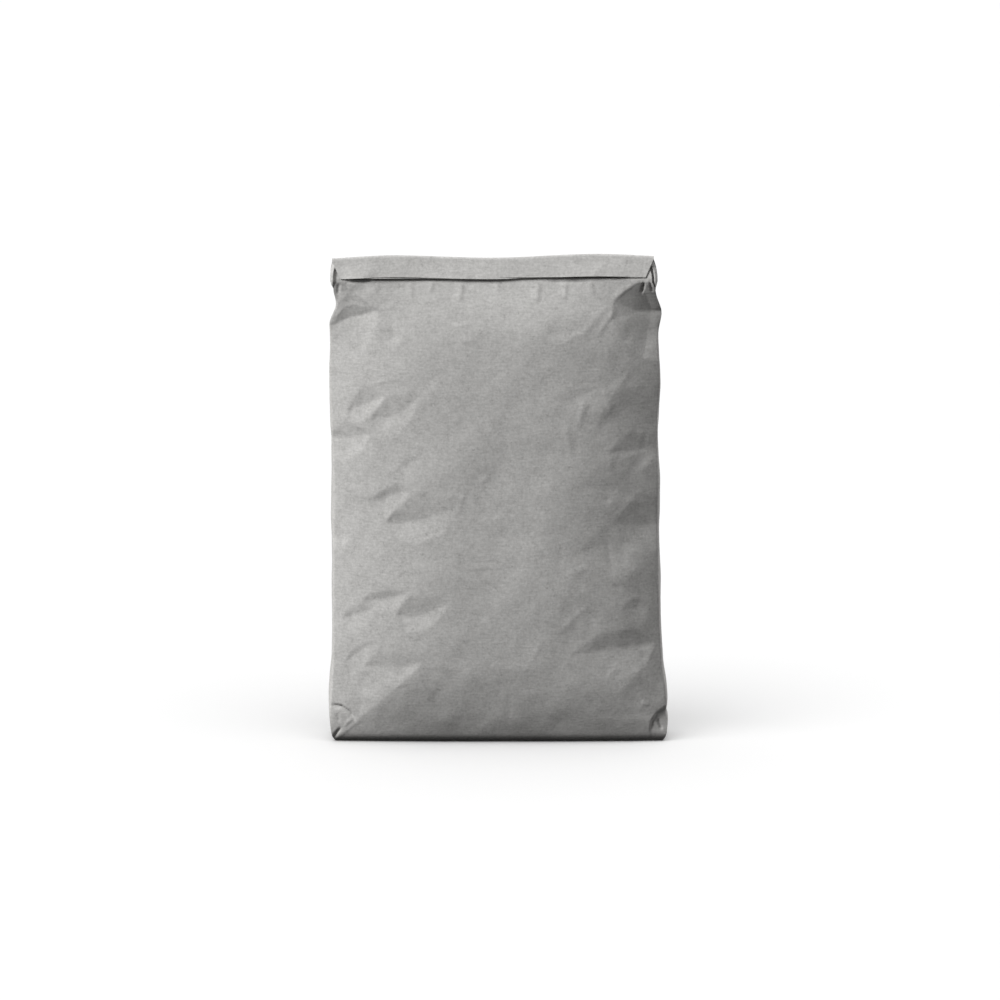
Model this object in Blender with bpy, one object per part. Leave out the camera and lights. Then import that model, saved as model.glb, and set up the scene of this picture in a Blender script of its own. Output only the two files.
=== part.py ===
"""A full paper cement sack that stands on its flat bottom, with its top edge folded over to the front.

The sack is one closed solid. Rings of points follow it from the flat bottom up the filled body, through the
closed neck, round the fold and down the strip that hangs over the front.
Metres, +Z up. The front faces -Y, and the origin is on the floor at the middle of the bottom.
"""

import math

import bmesh
import bpy

# Heights of the filled body and of the fold that closes it.
NECK_HEIGHT = 0.5375
FOLD_HEIGHT = 0.5657
STRIP_BOTTOM = 0.5416

# The pressed paper of the neck, the fold and the strip, from its middle to either face.
NECK_HALF_THICKNESS = 0.0026
STRIP_HALF_THICKNESS = 0.0014
FOLD_RADIUS = 0.0030
NECK_LEAN = math.radians(14)
STRIP_LEAN = math.radians(18)

# How far the sides reach left and right of the middle, as (height, reach).
LEFT_REACH = (
    (0.000, 0.1905), (0.006, 0.1946), (0.040, 0.1977), (0.075, 0.1962), (0.100, 0.1945), (0.290, 0.1925),
    (0.390, 0.1937), (0.487, 0.1938), (0.500, 0.1890), (0.511, 0.1848), (0.5215, 0.1872), (NECK_HEIGHT, 0.1922),
)
RIGHT_REACH = (
    (0.000, 0.1918), (0.006, 0.1958), (0.028, 0.1978), (0.042, 0.1975), (0.060, 0.1966), (0.095, 0.1920),
    (0.180, 0.1875), (0.300, 0.1855), (0.400, 0.1850), (0.455, 0.1835), (0.478, 0.1840), (0.491, 0.1858),
    (0.501, 0.1868), (0.511, 0.1838), (0.5215, 0.1802), (0.529, 0.1800), (NECK_HEIGHT, 0.1816),
)

# Where the rings' centres lie along Y. Near the top they move well forward, because the fold draws the neck there.
CENTRE_LINE = (
    (0.000, 0.0035), (0.340, 0.0035), (0.400, 0.0015), (0.440, -0.0020), (0.470, -0.0075), (0.500, -0.0185),
    (0.520, -0.0265), (NECK_HEIGHT, -0.0345),
)

# How far the middle of the front stands before the origin, and the middle of the back behind it.
FRONT_FACE = (
    (0.000, 0.0240), (0.004, 0.0308), (0.014, 0.0380), (0.022, 0.0412), (0.034, 0.0452), (0.048, 0.0494),
    (0.062, 0.0528), (0.083, 0.0566), (0.104, 0.0589), (0.147, 0.0617), (0.200, 0.0630), (0.300, 0.0633),
    (0.400, 0.0625), (0.435, 0.0614), (0.459, 0.0598), (0.478, 0.0576), (0.497, 0.0530), (0.513, 0.0478),
    (0.531, 0.0418), (NECK_HEIGHT, 0.0400),
)
BACK_FACE = (
    (0.000, 0.0355), (0.004, 0.0455), (0.012, 0.0520), (0.037, 0.0582), (0.090, 0.0622), (0.150, 0.0630),
    (0.250, 0.0628), (0.340, 0.0608), (0.400, 0.0545), (0.440, 0.0445), (0.470, 0.0320), (0.500, 0.0140),
    (0.520, -0.0050), (NECK_HEIGHT, -0.0285),
)

# How far the upright creases between the panels and the gussets stand out from the rings' centres.
SIDE_CREASE = (
    (0.000, 0.0235), (0.002, 0.0270), (0.006, 0.0302), (0.014, 0.0325), (0.050, 0.0340), (0.240, 0.0345),
    (0.360, 0.0335), (0.420, 0.0290), (0.460, 0.0235), (0.490, 0.0170), (0.514, 0.0105), (NECK_HEIGHT, 0.0052),
)

# The gusset's middle stands out of the side where this is positive, and is tucked in where it is negative.
GUSSET_SWELL = (
    (0.000, 0.0012), (0.050, 0.0022), (0.250, 0.0024), (0.380, 0.0016), (0.430, -0.0010), (0.470, -0.0120),
    (0.505, -0.0240), (NECK_HEIGHT, -0.0300),
)
GUSSET_TUCK_AT_FOLD = -0.0060

# The fold's top edge rises and dips along the sack, as (place along X, lift). The strip's bottom edge
# follows it in part.
FOLD_WAVE = ((-0.190, -0.0025), (-0.120, 0.0012), (-0.010, -0.0016), (0.115, 0.0028), (0.180, 0.0002))
STRIP_EDGE_WAVE = 0.55

# Reach left and right of the neck just under the fold, of the fold's top edge and of the strip's bottom edge.
NECK_ENDS = (0.1897, 0.1770)
FOLD_ENDS = (0.1897, 0.1770)
STRIP_ENDS = (0.1805, 0.1707)

# Rings of the body, and how finely the rest is divided.
BODY_RINGS = (
    0.000, 0.004, 0.012, 0.024, 0.040, 0.064, 0.100, 0.150, 0.210, 0.270, 0.330, 0.380, 0.415,
    0.442, 0.460, 0.476, 0.488, 0.500, 0.511, 0.5215, 0.529, NECK_HEIGHT,
)
NECK_RINGS = 2
FOLD_RINGS = 7
STRIP_RINGS = 2
PANEL_STEPS = 16
GUSSET_STEPS = 8

PANEL_CROWN_POWER = 2.8
SWELL_POWER = 2.0
SHARP_ANGLE = math.radians(35)

PAPER_COLOUR = (0.390, 0.385, 0.376, 1.0)
PAPER_ROUGHNESS = 0.88


def eased(stations, place):
    """Height of the smooth curve through (place, value) stations, which never overshoots them."""
    places = [station[0] for station in stations]
    values = [station[1] for station in stations]
    if place <= places[0]:
        return values[0]
    if place >= places[-1]:
        return values[-1]
    steps = [b - a for a, b in zip(places, places[1:])]
    slopes = [(b - a) / step for a, b, step in zip(values, values[1:], steps)]
    tangents = [slopes[0]]
    for before, after in zip(slopes, slopes[1:]):
        tangents.append(2 * before * after / (before + after) if before * after > 0 else 0.0)
    tangents.append(slopes[-1])
    index = max(i for i, start in enumerate(places[:-1]) if start <= place)
    step = steps[index]
    t = (place - places[index]) / step
    return (
        (2 * t**3 - 3 * t**2 + 1) * values[index]
        + (t**3 - 2 * t**2 + t) * step * tangents[index]
        + (3 * t**2 - 2 * t**3) * values[index + 1]
        + (t**3 - t**2) * step * tangents[index + 1]
    )


def mixed(start, end, share):
    return start + (end - start) * share


def ring_points(middle, lean, reach, front, back, tuck, lift):
    """One ring of the sack as (x, y, z) points, from the front's left crease round to the left gusset.

    middle is the ring's centre in Y and Z, and lean turns the ring about X, towards the front.
    reach holds its left and right ends, front and back each hold (middle, crease) offsets.
    """
    centre_y, centre_z = middle
    front_y, front_z = -math.cos(lean), -math.sin(lean)
    swell = max(tuck, 0.0)
    left = -reach[0] + swell
    right = reach[1] - swell

    def point(x, offset):
        rise = lift * eased(FOLD_WAVE, x)
        return (x, centre_y + offset * front_y, centre_z + offset * front_z + rise)

    def panel(offsets):
        for step in range(PANEL_STEPS + 1):
            u = 2 * step / PANEL_STEPS - 1
            crown = 1 - abs(u) ** PANEL_CROWN_POWER
            yield mixed(left, right, step / PANEL_STEPS), mixed(offsets[1], offsets[0], crown)

    def gusset(crease, outward):
        power = SWELL_POWER if tuck > 0 else 1.0
        for step in range(1, GUSSET_STEPS):
            v = 2 * step / GUSSET_STEPS - 1
            depth = mixed(front[1], -back[1], step / GUSSET_STEPS)
            yield crease + outward * tuck * (1 - abs(v) ** power), depth

    points = [point(x, offset) for x, offset in panel(front)]
    points += [point(x, depth) for x, depth in gusset(right, 1)]
    points += [point(x, -offset) for x, offset in reversed(list(panel(back)))]
    points += [point(x, depth) for x, depth in reversed(list(gusset(left, -1)))]
    return points


def body_rings():
    """Level rings of the filled body, from the flat bottom to the neck."""
    for height in BODY_RINGS:
        crease = eased(SIDE_CREASE, height)
        centre = eased(CENTRE_LINE, height)
        yield ring_points(
            middle=(centre, height),
            lean=0.0,
            reach=(eased(LEFT_REACH, height), eased(RIGHT_REACH, height)),
            front=(eased(FRONT_FACE, height) + centre, crease),
            back=(eased(BACK_FACE, height) - centre, crease),
            tuck=eased(GUSSET_SWELL, height),
            lift=0.0,
        )


def neck_and_strip_rings():
    """Thin rings that lean back up the neck, turn over at the fold and run down the strip."""
    start_y, start_z = CENTRE_LINE[-1][1], NECK_HEIGHT
    fold_rise = FOLD_RADIUS * (1 + math.sin(NECK_LEAN)) + STRIP_HALF_THICKNESS
    neck_length = (FOLD_HEIGHT - fold_rise - start_z) / math.cos(NECK_LEAN)
    neck_tuck = GUSSET_SWELL[-1][1]
    body_ends = (LEFT_REACH[-1][1], RIGHT_REACH[-1][1])

    def thin_ring(middle, lean, reach, half, tuck, lift):
        return ring_points(middle, lean, reach, (half, half), (half, half), tuck, lift)

    for ring in range(1, NECK_RINGS + 1):
        share = ring / NECK_RINGS
        along = neck_length * share
        yield thin_ring(
            middle=(start_y + along * math.sin(NECK_LEAN), start_z + along * math.cos(NECK_LEAN)),
            lean=-NECK_LEAN,
            reach=[mixed(low, high, min(1.0, 2 * share)) for low, high in zip(body_ends, NECK_ENDS)],
            half=mixed(NECK_HALF_THICKNESS, STRIP_HALF_THICKNESS, share),
            tuck=mixed(neck_tuck, GUSSET_TUCK_AT_FOLD, share),
            lift=share,
        )

    fold_y = start_y + neck_length * math.sin(NECK_LEAN)
    fold_z = start_z + neck_length * math.cos(NECK_LEAN)
    for ring in range(1, FOLD_RINGS + 1):
        share = ring / FOLD_RINGS
        lean = mixed(-NECK_LEAN, math.pi - STRIP_LEAN, share)
        yield thin_ring(
            middle=(
                fold_y + FOLD_RADIUS * (math.cos(lean) - math.cos(NECK_LEAN)),
                fold_z + FOLD_RADIUS * (math.sin(lean) + math.sin(NECK_LEAN)),
            ),
            lean=lean,
            reach=[mixed(low, high, share) for low, high in zip(NECK_ENDS, FOLD_ENDS)],
            half=STRIP_HALF_THICKNESS,
            tuck=mixed(GUSSET_TUCK_AT_FOLD, 0.0, share),
            lift=1.0,
        )

    top_y = fold_y - FOLD_RADIUS * (math.cos(NECK_LEAN) + math.cos(STRIP_LEAN))
    top_z = fold_z + FOLD_RADIUS * (math.sin(NECK_LEAN) + math.sin(STRIP_LEAN))
    strip_length = (top_z - STRIP_BOTTOM) / math.cos(STRIP_LEAN)
    for ring in range(1, STRIP_RINGS + 1):
        share = ring / STRIP_RINGS
        along = strip_length * share
        yield thin_ring(
            middle=(top_y - along * math.sin(STRIP_LEAN), top_z - along * math.cos(STRIP_LEAN)),
            lean=math.pi - STRIP_LEAN,
            reach=[mixed(low, high, share) for low, high in zip(FOLD_ENDS, STRIP_ENDS)],
            half=STRIP_HALF_THICKNESS,
            tuck=0.0,
            lift=mixed(1.0, STRIP_EDGE_WAVE, share),
        )


def paper_material():
    """Plain grey sack paper."""
    material = bpy.data.materials.new("sack_paper")
    material.use_nodes = True
    shader = material.node_tree.nodes["Principled BSDF"]
    shader.inputs["Base Color"].default_value = PAPER_COLOUR
    shader.inputs["Roughness"].default_value = PAPER_ROUGHNESS
    shader.inputs["Metallic"].default_value = 0.0
    return material


def paper_sack():
    """The sack's skin through all the rings, closed at its bottom and at the strip's lower edge."""
    mesh = bpy.data.meshes.new("paper_sack")
    bm = bmesh.new()
    rings = [
        [bm.verts.new(point) for point in points]
        for points in [*body_rings(), *neck_and_strip_rings()]
    ]
    for lower, upper in zip(rings, rings[1:]):
        count = len(lower)
        for i in range(count):
            j = (i + 1) % count
            bm.faces.new((lower[i], lower[j], upper[j], upper[i]))
    bm.faces.new(reversed(rings[0]))
    bm.faces.new(rings[-1])
    bm.to_mesh(mesh)
    bm.free()
    mesh.shade_smooth()
    mesh.set_sharp_from_angle(angle=SHARP_ANGLE)
    mesh.materials.append(paper_material())
    sack = bpy.data.objects.new("paper_sack", mesh)
    bpy.context.collection.objects.link(sack)
    return sack


for leftover in list(bpy.data.objects):
    bpy.data.objects.remove(leftover, do_unlink=True)

paper_sack()
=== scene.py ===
"""A full paper cement sack on a pale studio floor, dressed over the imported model.

Metres, +Z up. The sack stands at the origin, and its front faces -Y.
"""

import math

import bpy
import numpy as np
from mathutils.geometry import delaunay_2d_cdt
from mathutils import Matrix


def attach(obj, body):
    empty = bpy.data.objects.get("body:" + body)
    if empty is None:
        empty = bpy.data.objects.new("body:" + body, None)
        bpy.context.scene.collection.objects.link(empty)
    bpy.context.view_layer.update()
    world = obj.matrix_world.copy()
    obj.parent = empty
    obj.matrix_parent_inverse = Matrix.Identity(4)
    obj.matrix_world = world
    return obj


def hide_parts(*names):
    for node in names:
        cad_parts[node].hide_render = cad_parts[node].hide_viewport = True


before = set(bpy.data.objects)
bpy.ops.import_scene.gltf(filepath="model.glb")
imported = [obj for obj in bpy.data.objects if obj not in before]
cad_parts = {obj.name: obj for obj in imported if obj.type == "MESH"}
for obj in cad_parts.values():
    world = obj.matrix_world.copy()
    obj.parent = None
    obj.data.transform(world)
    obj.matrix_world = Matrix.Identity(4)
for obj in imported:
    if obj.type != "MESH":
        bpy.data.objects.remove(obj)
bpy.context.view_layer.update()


# Paper sack, its smooth form.
# One tube of grey kraft paper with a gusset down each side, glued flat across the bottom and filled with
# cement. It bellies out front and back, and its closed top is pressed flat and folded over to the front.

NECK_HEIGHT = 0.5375
FOLD_HEIGHT = 0.5657
STRIP_BOTTOM = 0.5416
STRIP_HALF_THICKNESS = 0.0008
FOLD_RADIUS = 0.0024
NECK_LEAN = math.radians(14)
NECK_HOLD = 2.5
STRIP_LEAN = math.radians(15.5)

# How far the front layer reaches left and right of the middle, as (height, reach), and how much further the
# back layer reaches near the neck.
LEFT_REACH = (
    (0.000, 0.1905), (0.006, 0.1946), (0.040, 0.1977), (0.075, 0.1962), (0.100, 0.1945), (0.290, 0.1925),
    (0.390, 0.1937), (0.472, 0.1938), (0.487, 0.1938), (0.500, 0.1890), (0.511, 0.1848), (0.5215, 0.1870),
    (0.529, 0.1886), (NECK_HEIGHT, 0.1854),
)
RIGHT_REACH = (
    (0.000, 0.1918), (0.006, 0.1958), (0.028, 0.1978), (0.035, 0.1952), (0.042, 0.1974), (0.060, 0.1966),
    (0.095, 0.1920), (0.180, 0.1875), (0.300, 0.1855), (0.400, 0.1850), (0.455, 0.1835), (0.478, 0.1840),
    (0.491, 0.1858), (0.501, 0.1868), (0.511, 0.1838), (0.5215, 0.1800), (0.529, 0.1788),
    (NECK_HEIGHT, 0.1746),
)
LEFT_SPREAD = ((0.500, 0.0), (0.526, 0.0), (NECK_HEIGHT, 0.0068))
RIGHT_SPREAD = ((0.500, 0.0), (0.526, 0.0), (NECK_HEIGHT, 0.0070))

# How far the middle of the front stands before the origin and the middle of the back behind it, and where
# the rings' centres lie along Y. The fold draws the neck well to the front.
FRONT_FACE = (
    (0.000, 0.0240), (0.002, 0.0282), (0.006, 0.0328), (0.014, 0.0368), (0.022, 0.0405), (0.034, 0.0452),
    (0.048, 0.0494), (0.062, 0.0528), (0.083, 0.0566), (0.104, 0.0589), (0.147, 0.0617), (0.200, 0.0630),
    (0.300, 0.0633), (0.400, 0.0625), (0.435, 0.0614), (0.459, 0.0598), (0.478, 0.0576), (0.497, 0.0530),
    (0.513, 0.0477), (0.531, 0.0409), (NECK_HEIGHT, 0.0385),
)
BACK_FACE = (
    (0.000, 0.0355), (0.0015, 0.0405), (0.004, 0.0455), (0.012, 0.0520), (0.037, 0.0582), (0.090, 0.0622),
    (0.150, 0.0630), (0.250, 0.0628), (0.340, 0.0608), (0.400, 0.0545), (0.440, 0.0445), (0.470, 0.0320),
    (0.500, 0.0140), (0.520, -0.0050), (NECK_HEIGHT, -0.0285),
)
CENTRE_LINE = (
    (0.000, 0.0035), (0.340, 0.0035), (0.400, 0.0015), (0.440, -0.0020), (0.470, -0.0075), (0.500, -0.0185),
    (0.520, -0.0265), (NECK_HEIGHT, -0.0345),
)

# How far the upright creases between the panels and the gussets stand out from the rings' centres, and how
# far the gusset's middle bulges out, or is tucked in where this is negative.
SIDE_CREASE = (
    (0.000, 0.0235), (0.002, 0.0270), (0.006, 0.0302), (0.014, 0.0325), (0.050, 0.0340), (0.240, 0.0345),
    (0.360, 0.0335), (0.420, 0.0290), (0.460, 0.0235), (0.490, 0.0170), (0.514, 0.0105),
    (NECK_HEIGHT, 0.0052),
)
GUSSET_SWELL = (
    (0.000, 0.0012), (0.050, 0.0022), (0.250, 0.0024), (0.380, 0.0016), (0.430, -0.0010), (0.470, -0.0120),
    (0.505, -0.0240), (NECK_HEIGHT, -0.0300),
)

# How far the wavy fold lifts at places across the sack, and the share of that at the strip's lower edge.
FOLD_WAVE = ((-0.190, -0.0025), (-0.120, 0.0012), (-0.010, -0.0016), (0.115, 0.0028), (0.180, 0.0002))
STRIP_EDGE_WAVE = 0.75

# Reach of the two layers left and right, at the neck's top, at the fold and at the strip's lower edge.
NECK_LAYERS = {"front": (0.1785, 0.1630), "back": (0.1897, 0.1770)}
FOLD_LAYERS = {"front": (0.1856, 0.1700), "back": (0.1897, 0.1770)}
STRIP_LAYERS = {"front": (0.1792, 0.1662), "back": (0.1805, 0.1675)}

# Section of the pressed gusset at the neck, from the front layer's edge round to the back layer's edge.
# Each point is a place along the gusset, a share of the way out to the back layer, an inset and a share of
# the depth. The paper turns in behind the front layer, rolls out past it and tucks in before the back.
NECK_SECTION = (
    (-1.00, 0.00, 0.000, 1.00),
    (-0.80, 0.03, 0.0015, -0.70),
    (-0.55, 0.22, 0.000, -0.70),
    (-0.30, 0.45, 0.000, 1.00),
    (0.05, 1.00, 0.000, 0.15),
    (0.50, 1.00, 0.018, -0.20),
    (1.00, 1.00, 0.000, -1.00),
)
NECK_SECTION_HEIGHTS = (0.511, 0.533)

# Powers of the curves that crown the panels and swell the gussets.
PANEL_CROWN_POWER = 2.8
SWELL_POWER = 2.0

# How many rings the outline's kinks and how many places the upright edges are rounded over, and the heights
# over which the edges turn round above the foot and sharp again at the shoulder.
PROFILE_ROUNDING = 4
CORNER_ROUNDING = 2
EDGES_ROUND_FROM = (0.02, 0.06)
EDGES_SHARP_FROM = (0.47, 0.50)

# How many rings and steps the skin has, and how much closer they stand near its edges.
BODY_RINGS = 262
NECK_RINGS = 12
FOLD_RINGS = 10
STRIP_RINGS = 12
FRONT_STEPS = 212
BACK_STEPS = 76
GUSSET_STEPS = 18
EDGE_CROWDING = 0.12
RING_CROWDING = 0.25


def eased(stations, places):
    """Heights of the smooth curve through (place, value) stations, which never overshoots them."""
    at = np.array([station[0] for station in stations])
    value = np.array([station[1] for station in stations])
    places = np.clip(places, at[0], at[-1])
    step = np.diff(at)
    slope = np.diff(value) / step
    before, after = slope[:-1], slope[1:]
    same_way = before * after > 0
    total = np.where(same_way, before + after, 1.0)
    inner = np.where(same_way, 2 * before * after / total, 0.0)
    tangent = np.concatenate(([slope[0]], inner, [slope[-1]]))
    i = np.clip(np.searchsorted(at, places, side="right") - 1, 0, len(step) - 1)
    t = (places - at[i]) / step[i]
    return (
        (2 * t**3 - 3 * t**2 + 1) * value[i]
        + (t**3 - 2 * t**2 + t) * step[i] * tangent[i]
        + (3 * t**2 - 2 * t**3) * value[i + 1]
        + (t**3 - t**2) * step[i] * tangent[i + 1]
    )


def mixed(start, end, share):
    return start + (end - start) * share


def rounded(values):
    """Values along the body with the small kinks between their stations smoothed out."""
    reach = PROFILE_ROUNDING
    window = np.hanning(2 * reach + 3)[1:-1]
    before = 2 * values[0] - values[reach:0:-1]
    after = 2 * values[-1] - values[-2 : -reach - 2 : -1]
    return np.convolve(np.concatenate((before, values, after)), window / window.sum(), mode="valid")


def body_stations():
    """Level rings of the filled body, closer together at its foot and its shoulder."""
    even = np.linspace(0, 1, BODY_RINGS)
    z = NECK_HEIGHT * (even - RING_CROWDING * np.sin(2 * np.pi * even) / (2 * np.pi))

    def along(profile):
        return rounded(eased(profile, z))

    left, right, centre = along(LEFT_REACH), along(RIGHT_REACH), along(CENTRE_LINE)
    return {
        "y": centre,
        "z": z,
        "lean": 0 * z,
        "front_left": left,
        "front_right": right,
        "back_left": left + along(LEFT_SPREAD),
        "back_right": right + along(RIGHT_SPREAD),
        "front": along(FRONT_FACE) + centre,
        "back": along(BACK_FACE) - centre,
        "crease": along(SIDE_CREASE),
        "tuck": along(GUSSET_SWELL),
        "lift": 0 * z,
        "pressed": 0 * z,
    }


def thin_stations(start, end, rings, path, hold=1):
    """Rings of the pressed layers between two sets of values, on a path of (share) to (y, z, lean).

    A higher hold keeps them at their first values for longer.
    """
    share = np.arange(1, rings + 1) / rings
    y, z, lean = path(share)
    stations = {key: mixed(start[key], end[key], share**hold) for key in start}
    return {**stations, "y": y, "z": z, "lean": lean, "pressed": 1 + 0 * share}


def path_stations():
    """The rings' own values, one column for each, from the flat bottom up to the strip's lower edge."""
    body = body_stations()
    neck = {key: body[key][-1] for key in body if key not in ("y", "z", "lean", "pressed")}
    start_y, start_z = body["y"][-1], body["z"][-1]

    def layers(reach, lift):
        ends = {"front": STRIP_HALF_THICKNESS, "back": STRIP_HALF_THICKNESS, "crease": STRIP_HALF_THICKNESS}
        for layer, (left, right) in reach.items():
            ends[layer + "_left"] = left
            ends[layer + "_right"] = right
        return {**ends, "tuck": 0.0, "lift": lift}

    sin, cos = math.sin(NECK_LEAN), math.cos(NECK_LEAN)
    neck_length = (FOLD_HEIGHT - FOLD_RADIUS * (1 + sin) - STRIP_HALF_THICKNESS - start_z) / cos
    fold_y = start_y + neck_length * sin
    fold_z = start_z + neck_length * cos
    strip_sin, strip_cos = math.sin(STRIP_LEAN), math.cos(STRIP_LEAN)
    strip_y = fold_y - FOLD_RADIUS * (cos + strip_cos)
    strip_z = fold_z + FOLD_RADIUS * (sin + strip_sin)
    strip_length = (strip_z - STRIP_BOTTOM) / strip_cos

    def up_the_neck(share):
        run = neck_length * share
        return start_y + run * sin, start_z + run * cos, 0 * share - NECK_LEAN

    def round_the_fold(share):
        lean = mixed(-NECK_LEAN, math.pi - STRIP_LEAN, share)
        y = fold_y + FOLD_RADIUS * (np.cos(lean) - cos)
        z = fold_z + FOLD_RADIUS * (np.sin(lean) + sin)
        return y, z, lean

    def down_the_strip(share):
        run = strip_length * share
        return strip_y - run * strip_sin, strip_z - run * strip_cos, 0 * share + math.pi - STRIP_LEAN

    top = layers(NECK_LAYERS, 1.0)
    over = layers(FOLD_LAYERS, 1.0)
    edge = layers(STRIP_LAYERS, STRIP_EDGE_WAVE)
    parts = (
        body,
        thin_stations(neck, top, NECK_RINGS, up_the_neck, NECK_HOLD),
        thin_stations(top, over, FOLD_RINGS, round_the_fold),
        thin_stations(over, edge, STRIP_RINGS, down_the_strip),
    )
    return {key: np.concatenate([part[key] for part in parts])[:, None] for key in body}


def smooth_step(low, high, values):
    share = np.clip((values - low) / (high - low), 0, 1)
    return share * share * (3 - 2 * share)


def gusset_section(ring, side):
    """Across and depth of one gusset's points, from the front layer's edge to the back layer's edge."""
    name, sign = side
    depth = np.linspace(-1, 1, GUSSET_STEPS + 1)[1:-1]
    swell = np.maximum(ring["tuck"], 0)
    front_end = ring["front_" + name] - swell
    back_end = ring["back_" + name] - swell
    bulge = np.where(ring["tuck"] > 0, 1 - np.abs(depth) ** SWELL_POWER, 1 - np.abs(depth))
    filled_x = mixed(front_end, back_end, (depth + 1) / 2) + ring["tuck"] * bulge
    filled_y = -depth * ring["crease"]

    places, out, inset, toward_front = np.array(NECK_SECTION).T
    spread = np.array([np.interp(depth, places, row) for row in np.eye(len(places))])
    pressed_x = (mixed(front_end, back_end, out) - inset) @ spread
    pressed_y = (ring["crease"] * toward_front) @ spread
    pressing = np.maximum(smooth_step(*NECK_SECTION_HEIGHTS, ring["z"]), ring["pressed"])
    return sign * mixed(filled_x, pressed_x, pressing), mixed(filled_y, pressed_y, pressing)


def with_round_corners(form):
    """The rings with the filled body's four upright edges rounded off."""
    count = form.shape[1]
    edges = np.array((0, FRONT_STEPS, FRONT_STEPS + GUSSET_STEPS, count - GUSSET_STEPS))
    away = np.abs(np.arange(count)[:, None] - edges)
    away = np.minimum(away, count - away).min(axis=1)
    window = np.hanning(2 * CORNER_ROUNDING + 3)[1:-1]
    turns = range(-CORNER_ROUNDING, CORNER_ROUNDING + 1)
    softened = sum(part * np.roll(form, turn, axis=1) for part, turn in zip(window / window.sum(), turns))
    near = 1 - smooth_step(CORNER_ROUNDING, 2 * CORNER_ROUNDING, away)[None, :, None]
    height = form[:, :1, 2:]
    filled = smooth_step(*EDGES_ROUND_FROM, height) * (1 - smooth_step(*EDGES_SHARP_FROM, height))
    return mixed(form, softened, near * filled)


def lengths_round(points):
    """How far each ring's points lie from its first, along the ring, and how long each ring is."""
    around = np.cumsum(np.linalg.norm(points - np.roll(points, 1, axis=1), axis=2), axis=1)
    around -= around[:, :1]
    return around, around[:, -1:] + np.linalg.norm(points[:, -1:] - points[:, :1], axis=2)


def smooth_form():
    """The smooth sack as rings of points, and how far across the paper each lies from the front's middle.

    A ring starts at the front's left edge, runs to the right along the front, round the right gusset,
    to the left along the back and round the left gusset.
    """
    ring = path_stations()
    swell = np.maximum(ring["tuck"], 0)
    panels = {}
    for layer, steps in (("front", FRONT_STEPS), ("back", BACK_STEPS)):
        even = np.linspace(-1, 1, steps + 1)
        across = even + EDGE_CROWDING * np.sin(np.pi * even)
        crown = 1 - np.abs(across) ** PANEL_CROWN_POWER
        left, right = swell - ring[layer + "_left"], ring[layer + "_right"] - swell
        panels[layer] = mixed(left, right, (across + 1) / 2), mixed(ring["crease"], ring[layer], crown)
    right_x, right_y = gusset_section(ring, ("right", 1))
    left_x, left_y = gusset_section(ring, ("left", -1))
    x = np.hstack((panels["front"][0], right_x, panels["back"][0][:, ::-1], left_x[:, ::-1]))
    offset = np.hstack((panels["front"][1], right_y, -panels["back"][1][:, ::-1], left_y[:, ::-1]))
    y = ring["y"] - np.cos(ring["lean"]) * offset
    z = ring["z"] - np.sin(ring["lean"]) * offset + ring["lift"] * eased(FOLD_WAVE, x)
    form = with_round_corners(np.stack((x, y, z), axis=-1))

    around, whole = lengths_round(form)
    across = x.copy()
    middle_of_back = FRONT_STEPS + GUSSET_STEPS + BACK_STEPS // 2
    right_half = slice(FRONT_STEPS + 1, middle_of_back)
    across[:, right_half] = x[:, FRONT_STEPS, None] + (around - around[:, FRONT_STEPS, None])[:, right_half]
    across[:, middle_of_back:] = x[:, :1] - (whole - around)[:, middle_of_back:]
    return form, across


# Paper sack, its dents and creases.
# Stiff paper round a loose fill doesn't wrinkle like cloth. It buckles into flat facets with sharp folds
# between them, most of them along the upright edges. Places, widths and rises are in millimetres.

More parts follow.
